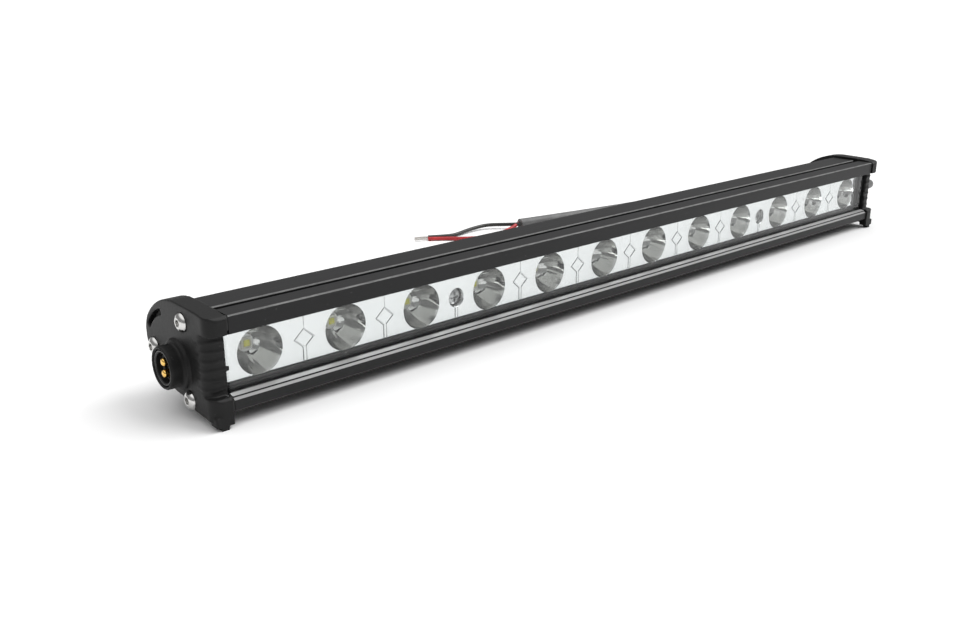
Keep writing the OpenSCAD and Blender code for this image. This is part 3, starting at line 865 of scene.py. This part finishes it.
def cupProfile(spec, fine=5):
    wall = [(r, spec["base"] - d) for r, d in smoothRoute(spec["cup"], fine)]
    return [(wall[0][0], spec["base"] + 0.6)] + wall


# raised relief between the cups: a diamond on the LED axis and two fine lines to the edges
reliefSpec = {"wide": 3.3, "tall": 3.0, "bead": 0.30, "rise": 0.32, "gap": 0.55, "reach": 6.9}


def bead(shape, path, half, rise, face, closed=False):
    rows = []
    for i, p in enumerate(path):
        before = path[i - 1] if (i or closed) else p
        after = path[(i + 1) % len(path)] if (i < len(path) - 1 or closed) else p
        ahead = (after - before).normalized()
        u, v = (p - before), (after - p)
        wide = half
        if u.length > 0 and v.length > 0:
            wide = half / max(cos(u.angle(v) / 2), 0.5)
        side = Vector((-ahead.y, ahead.x)) * wide
        rows.append([(p.x + side.x * a, face + 0.05 - (rise + 0.05) * b, p.y + side.y * a)
                     for a, b in ((1, 0), (0.75, 0.6), (0.3, 0.95), (-0.3, 0.95), (-0.75, 0.6),
                                  (-1, 0))])
    shape.rings(rows, closed=closed)


def addRelief(shape, spec, relief, x):
    z, face = spec["axis"], spec["face"]
    w, t, gap, reach = (relief[k] for k in ("wide", "tall", "gap", "reach"))
    foot = z - t * 0.82
    bead(shape, [Vector((x + gap, foot)), Vector((x + w, z)), Vector((x, z + t)),
                 Vector((x - w, z)), Vector((x - gap, foot))],
         relief["bead"], relief["rise"], face)
    addLegs(shape, spec, relief, x, foot)
    bead(shape, [Vector((x, z + t)), Vector((x, z + reach))], relief["bead"] * 0.6,
         relief["rise"] * 0.7, face)


# two fine lines down to the strip's edge
def addLegs(shape, spec, relief, x, top):
    for s in (-1, 1):
        side = x + s * relief["gap"]
        bead(shape, [Vector((side, top)), Vector((side, spec["axis"] - relief["reach"]))],
             relief["bead"] * 0.8, relief["rise"], spec["face"])


def makeReflector(spec, relief):
    shape = Shape()
    half, face = spec["pitch"] / 2, spec["face"]
    cup = cupProfile(spec)
    for x in ledPlaces(spec):
        reach = []
        for s in (-1, 1):
            byScrew = any(abs(x + s * half - screw) < 1 for screw in spec["screws"])
            reach.append(half - spec["screwCell"] if byScrew else min(half, spec["x"] - s * x))
        stripCell(shape, spec, x, reach[0], reach[1], cup, spec["ripple"])
    well, r = face + spec["recessDepth"], spec["recess"]
    wellProfile = [(1.5, well), (r - 0.35, well), (r - 0.1, well - 0.15), (r, well - 0.4),
                   (r, face + 0.3), (r + 0.06, face + 0.1), (r + 0.2, face)]
    for x in spec["screws"]:
        stripCell(shape, spec, x, spec["screwCell"], spec["screwCell"], wellProfile)
        addLegs(shape, spec, relief, x, spec["axis"] - r - 0.1)
    for i in range(1, spec["count"]):
        x = (i - spec["count"] / 2) * spec["pitch"]
        if min(abs(x - s) for s in spec["screws"]) > 1:
            addRelief(shape, spec, relief, x)
    return makePiece("reflector", shape, "mirror_plating", ["reflector"], 28, 0.002)


makeReflector(stripSpec, reliefSpec)
print("reflector made")


# domes of clear silicone over the phosphor
domeSpec = {"radius": 1.55, "floor": -5.9}


def makeDomes(spec):
    shape = Shape()
    for x in ledPlaces(stripSpec):
        arc = [(spec["radius"] * sin(a), spec["radius"] * cos(a))
               for a in [pi / 2 * k / 12 for k in range(13)]]
        shape.lathe(arc, (x, spec["floor"], stripSpec["axis"]), againstY, 32)
    return makePiece("ledDomes", shape, "clear_dome", ["led_domes"], 60, 0.0005)


makeDomes(domeSpec)

# button-head hex screws of the caps
buttonSpec = {"length": 16, "shank": 1.25, "sunk": 0.15,
              "head": ((0, 2.75), (0.12, 2.85), (0.35, 2.84), (0.62, 2.73), (0.9, 2.53),
                       (1.15, 2.25), (1.36, 1.9), (1.5, 1.6), (1.57, 1.42), (1.55, 1.3)),
              "socket": ((1.46, 1.18), (0.5, 1.16), (0.3, 0.45), (0.26, 0))}


def buttonScrews(spec):
    shape = Shape()
    length, shank = spec["length"], spec["shank"]

    def hexagon(r, a):
        if r >= 1.2 or r < 0.5:
            return r
        return r * cos(pi / 6) / cos((a % (pi / 3)) - pi / 6)
    profile = [(-length, 0), (-length, shank - 0.15), (-length + 0.3, shank), (0, shank)]
    profile += spec["head"] + spec["socket"]
    for y, z in screwSpots:
        shape.lathe(profile, (-capSpec["outer"] + spec["sunk"], y, z), againstX, 72, hexagon)
    return shape


screws = buttonScrews(buttonSpec)
makePiece("endScrewsLeft", screws, "stainless", ["end_screws_left"], 32, 0.0002)
makePiece("endScrewsRight", mirrored(screws), "stainless", ["end_screws_right"], 32, 0.0002)

# cross-head screws that hold the reflector
crossSpec = {"seat": -11.2, "height": 1.8, "arm": 1.75, "armHalf": 0.42, "depth": 1.0,
             "rim": ((0.0, 1.45), (0.0, 2.5), (0.1, 2.74), (0.35, 2.8), (0.7, 2.77),
                     (1.0, 2.66))}


def crossScrews(spec):
    shape = Shape()
    rings = list(spec["rim"]) + [(None, 2.6 - 0.1 * k) for k in range(1, 26)]
    for x in stripSpec["screws"]:
        rows = []
        for height, r in rings:
            row = []
            for k in range(96):
                a = 2 * pi * k / 96 + 0.3
                u, v = r * cos(a), r * sin(a)
                if height is None:
                    near = min(abs(u), abs(v))
                    far = max(abs(u), abs(v))
                    groove = max(0.0, min(1.0, (spec["armHalf"] + 0.08 - near) / 0.16))
                    groove *= max(0.0, min(1.0, (spec["arm"] - far) / 0.35))
                    rise = spec["height"] - 0.09 * r * r - spec["depth"] * groove
                else:
                    rise = height
                row.append((x + u, spec["seat"] - rise, stripSpec["axis"] + v))
            rows.append(row)
        shape.rings(rows)
    return shape


makePiece("reflectorScrews", crossScrews(crossSpec), "screw_steel", ["reflector_screws"], 40)

# two-pin link socket inside each boss
socketSpec = {"outer": 5.4, "inner": 4.6, "back": -181.6, "tip": -189.1, "floor": -186.1}


def linkSocket(spec):
    profile = [(spec["back"], 0), (spec["back"], spec["outer"]),
               (spec["tip"] + 0.3, spec["outer"]), (spec["tip"], spec["outer"] - 0.25),
               (spec["tip"], spec["inner"] + 0.3), (spec["tip"] + 0.3, spec["inner"]),
               (spec["floor"] - 0.3, spec["inner"]), (spec["floor"], spec["inner"] - 0.3),
               (spec["floor"], 3.0), (spec["floor"] - 0.4, 2.85), (spec["floor"] - 0.4, 0)]
    return Shape().lathe(profile, (0, boss["y"], boss["z"]), alongX, 72)


pinSpec = {"radius": 1.2, "back": -181.4, "tip": -189.3}


def socketPins(spec):
    shape = Shape()
    r, tip = spec["radius"], spec["tip"]
    for s in (-1, 1):
        profile = [(spec["back"], 0), (spec["back"], r), (tip + 0.8, r), (tip + 0.42, 0.95 * r),
                   (tip + 0.18, 0.76 * r), (tip + 0.05, 0.45 * r), (tip, 0)]
        shape.lathe(profile, (0, boss["y"], boss["z"] + s * boss["pinGap"] / 2), alongX, 40)
    return shape


sealSpec = {"x": -186.65, "ring": 4.25, "halfWide": 0.5, "halfTall": 0.34}


def sealRing(spec):
    profile = [(spec["x"] + spec["halfWide"] * cos(a), spec["ring"] + spec["halfTall"] * sin(a))
               for a in [2 * pi * k / 12 for k in range(12)]]
    return Shape().lathe(profile, (0, boss["y"], boss["z"]), alongX, 72, closed=True)


for side, flip in (("Left", lambda s: s), ("Right", mirrored)):
    end = "_" + side.lower()
    makePiece("linkSocket" + side, flip(linkSocket(socketSpec)), "socket_black",
              ["link_socket" + end], 40, 0.0002)
    makePiece("socketPins" + side, flip(socketPins(pinSpec)), "gold_pin",
              ["socket_pins" + end], 50, 0.0002)
    makePiece("socketSeal" + side, flip(sealRing(sealSpec)), "grey_seal",
              ["socket_seal" + end], 60)
print("hardware made")


# softened edges on the CAD solids that stay in view
def softenNode(name, width):
    node = cadNodes[name]
    join = node.modifiers.new("join", "WELD")
    join.merge_threshold = 0.00001
    edge = node.modifiers.new("softEdge", "BEVEL")
    edge.width = width * mm
    edge.segments = 2
    edge.limit_method = "ANGLE"
    edge.angle_limit = radians(40)
    node.modifiers.new("evenNormals", "WEIGHTED_NORMAL")


for name, width in (("led_packages", 0.1), ("driver_chips", 0.12),
                    ("driver_terminals", 0.15)):
    softenNode(name, width)

floorSpec = {"size": 14.0, "tone": 0.93}


def addFloor(spec):
    material, s = newShader("paleFloor")
    fine = s.noise((0.02, 0.02, 0.02), 3)
    s.finish(s.surface(
        Base_Color=s.mixColour(fine, tone(spec["tone"]), tone(spec["tone"] + 0.01)),
        Roughness=0.75 + (fine - 0.5) * 0.05, Specular_IOR_Level=0.2))
    half = spec["size"] / 2
    mesh = bpy.data.meshes.new("floor")
    mesh.from_pydata([(-half, -half, 0), (half, -half, 0), (half, half, 0), (-half, half, 0)],
                     [], [[0, 1, 2, 3]])
    floor = bpy.data.objects.new("floor", mesh)
    bpy.context.collection.objects.link(floor)
    mesh.materials.append(material)


lightSpec = {"sky": 1.28, "horizon": 0.30, "sun": 1.7, "sunAngle": 46,
             "towards": (0.58, -0.34, 0.74)}


def addLight(spec):
    world = bpy.data.worlds.new("studio")
    bpy.context.scene.world = world
    world.use_nodes = True
    s = Shader(world.node_tree, "Generated")
    height = s.add("ShaderNodeSeparateXYZ", None, {0: s.place}, out=2)
    level = s.mixColour(s.ramp(height, 0.4, 0.8), tone(spec["horizon"]), tone(spec["sky"]))
    s.finish(s.add("ShaderNodeBackground", None, {"Color": level, "Strength": 1.0}),
             "ShaderNodeOutputWorld")
    data = bpy.data.lights.new("softOverhead", "SUN")
    data.energy = spec["sun"]
    data.angle = radians(spec["sunAngle"])
    lamp = bpy.data.objects.new("softOverhead", data)
    bpy.context.collection.objects.link(lamp)
    lamp.rotation_euler = Vector(spec["towards"]).to_track_quat("Z", "Y").to_euler()


addFloor(floorSpec)
addLight(lightSpec)
bpy.context.scene.view_settings.view_transform = "Standard"
print("stage set")
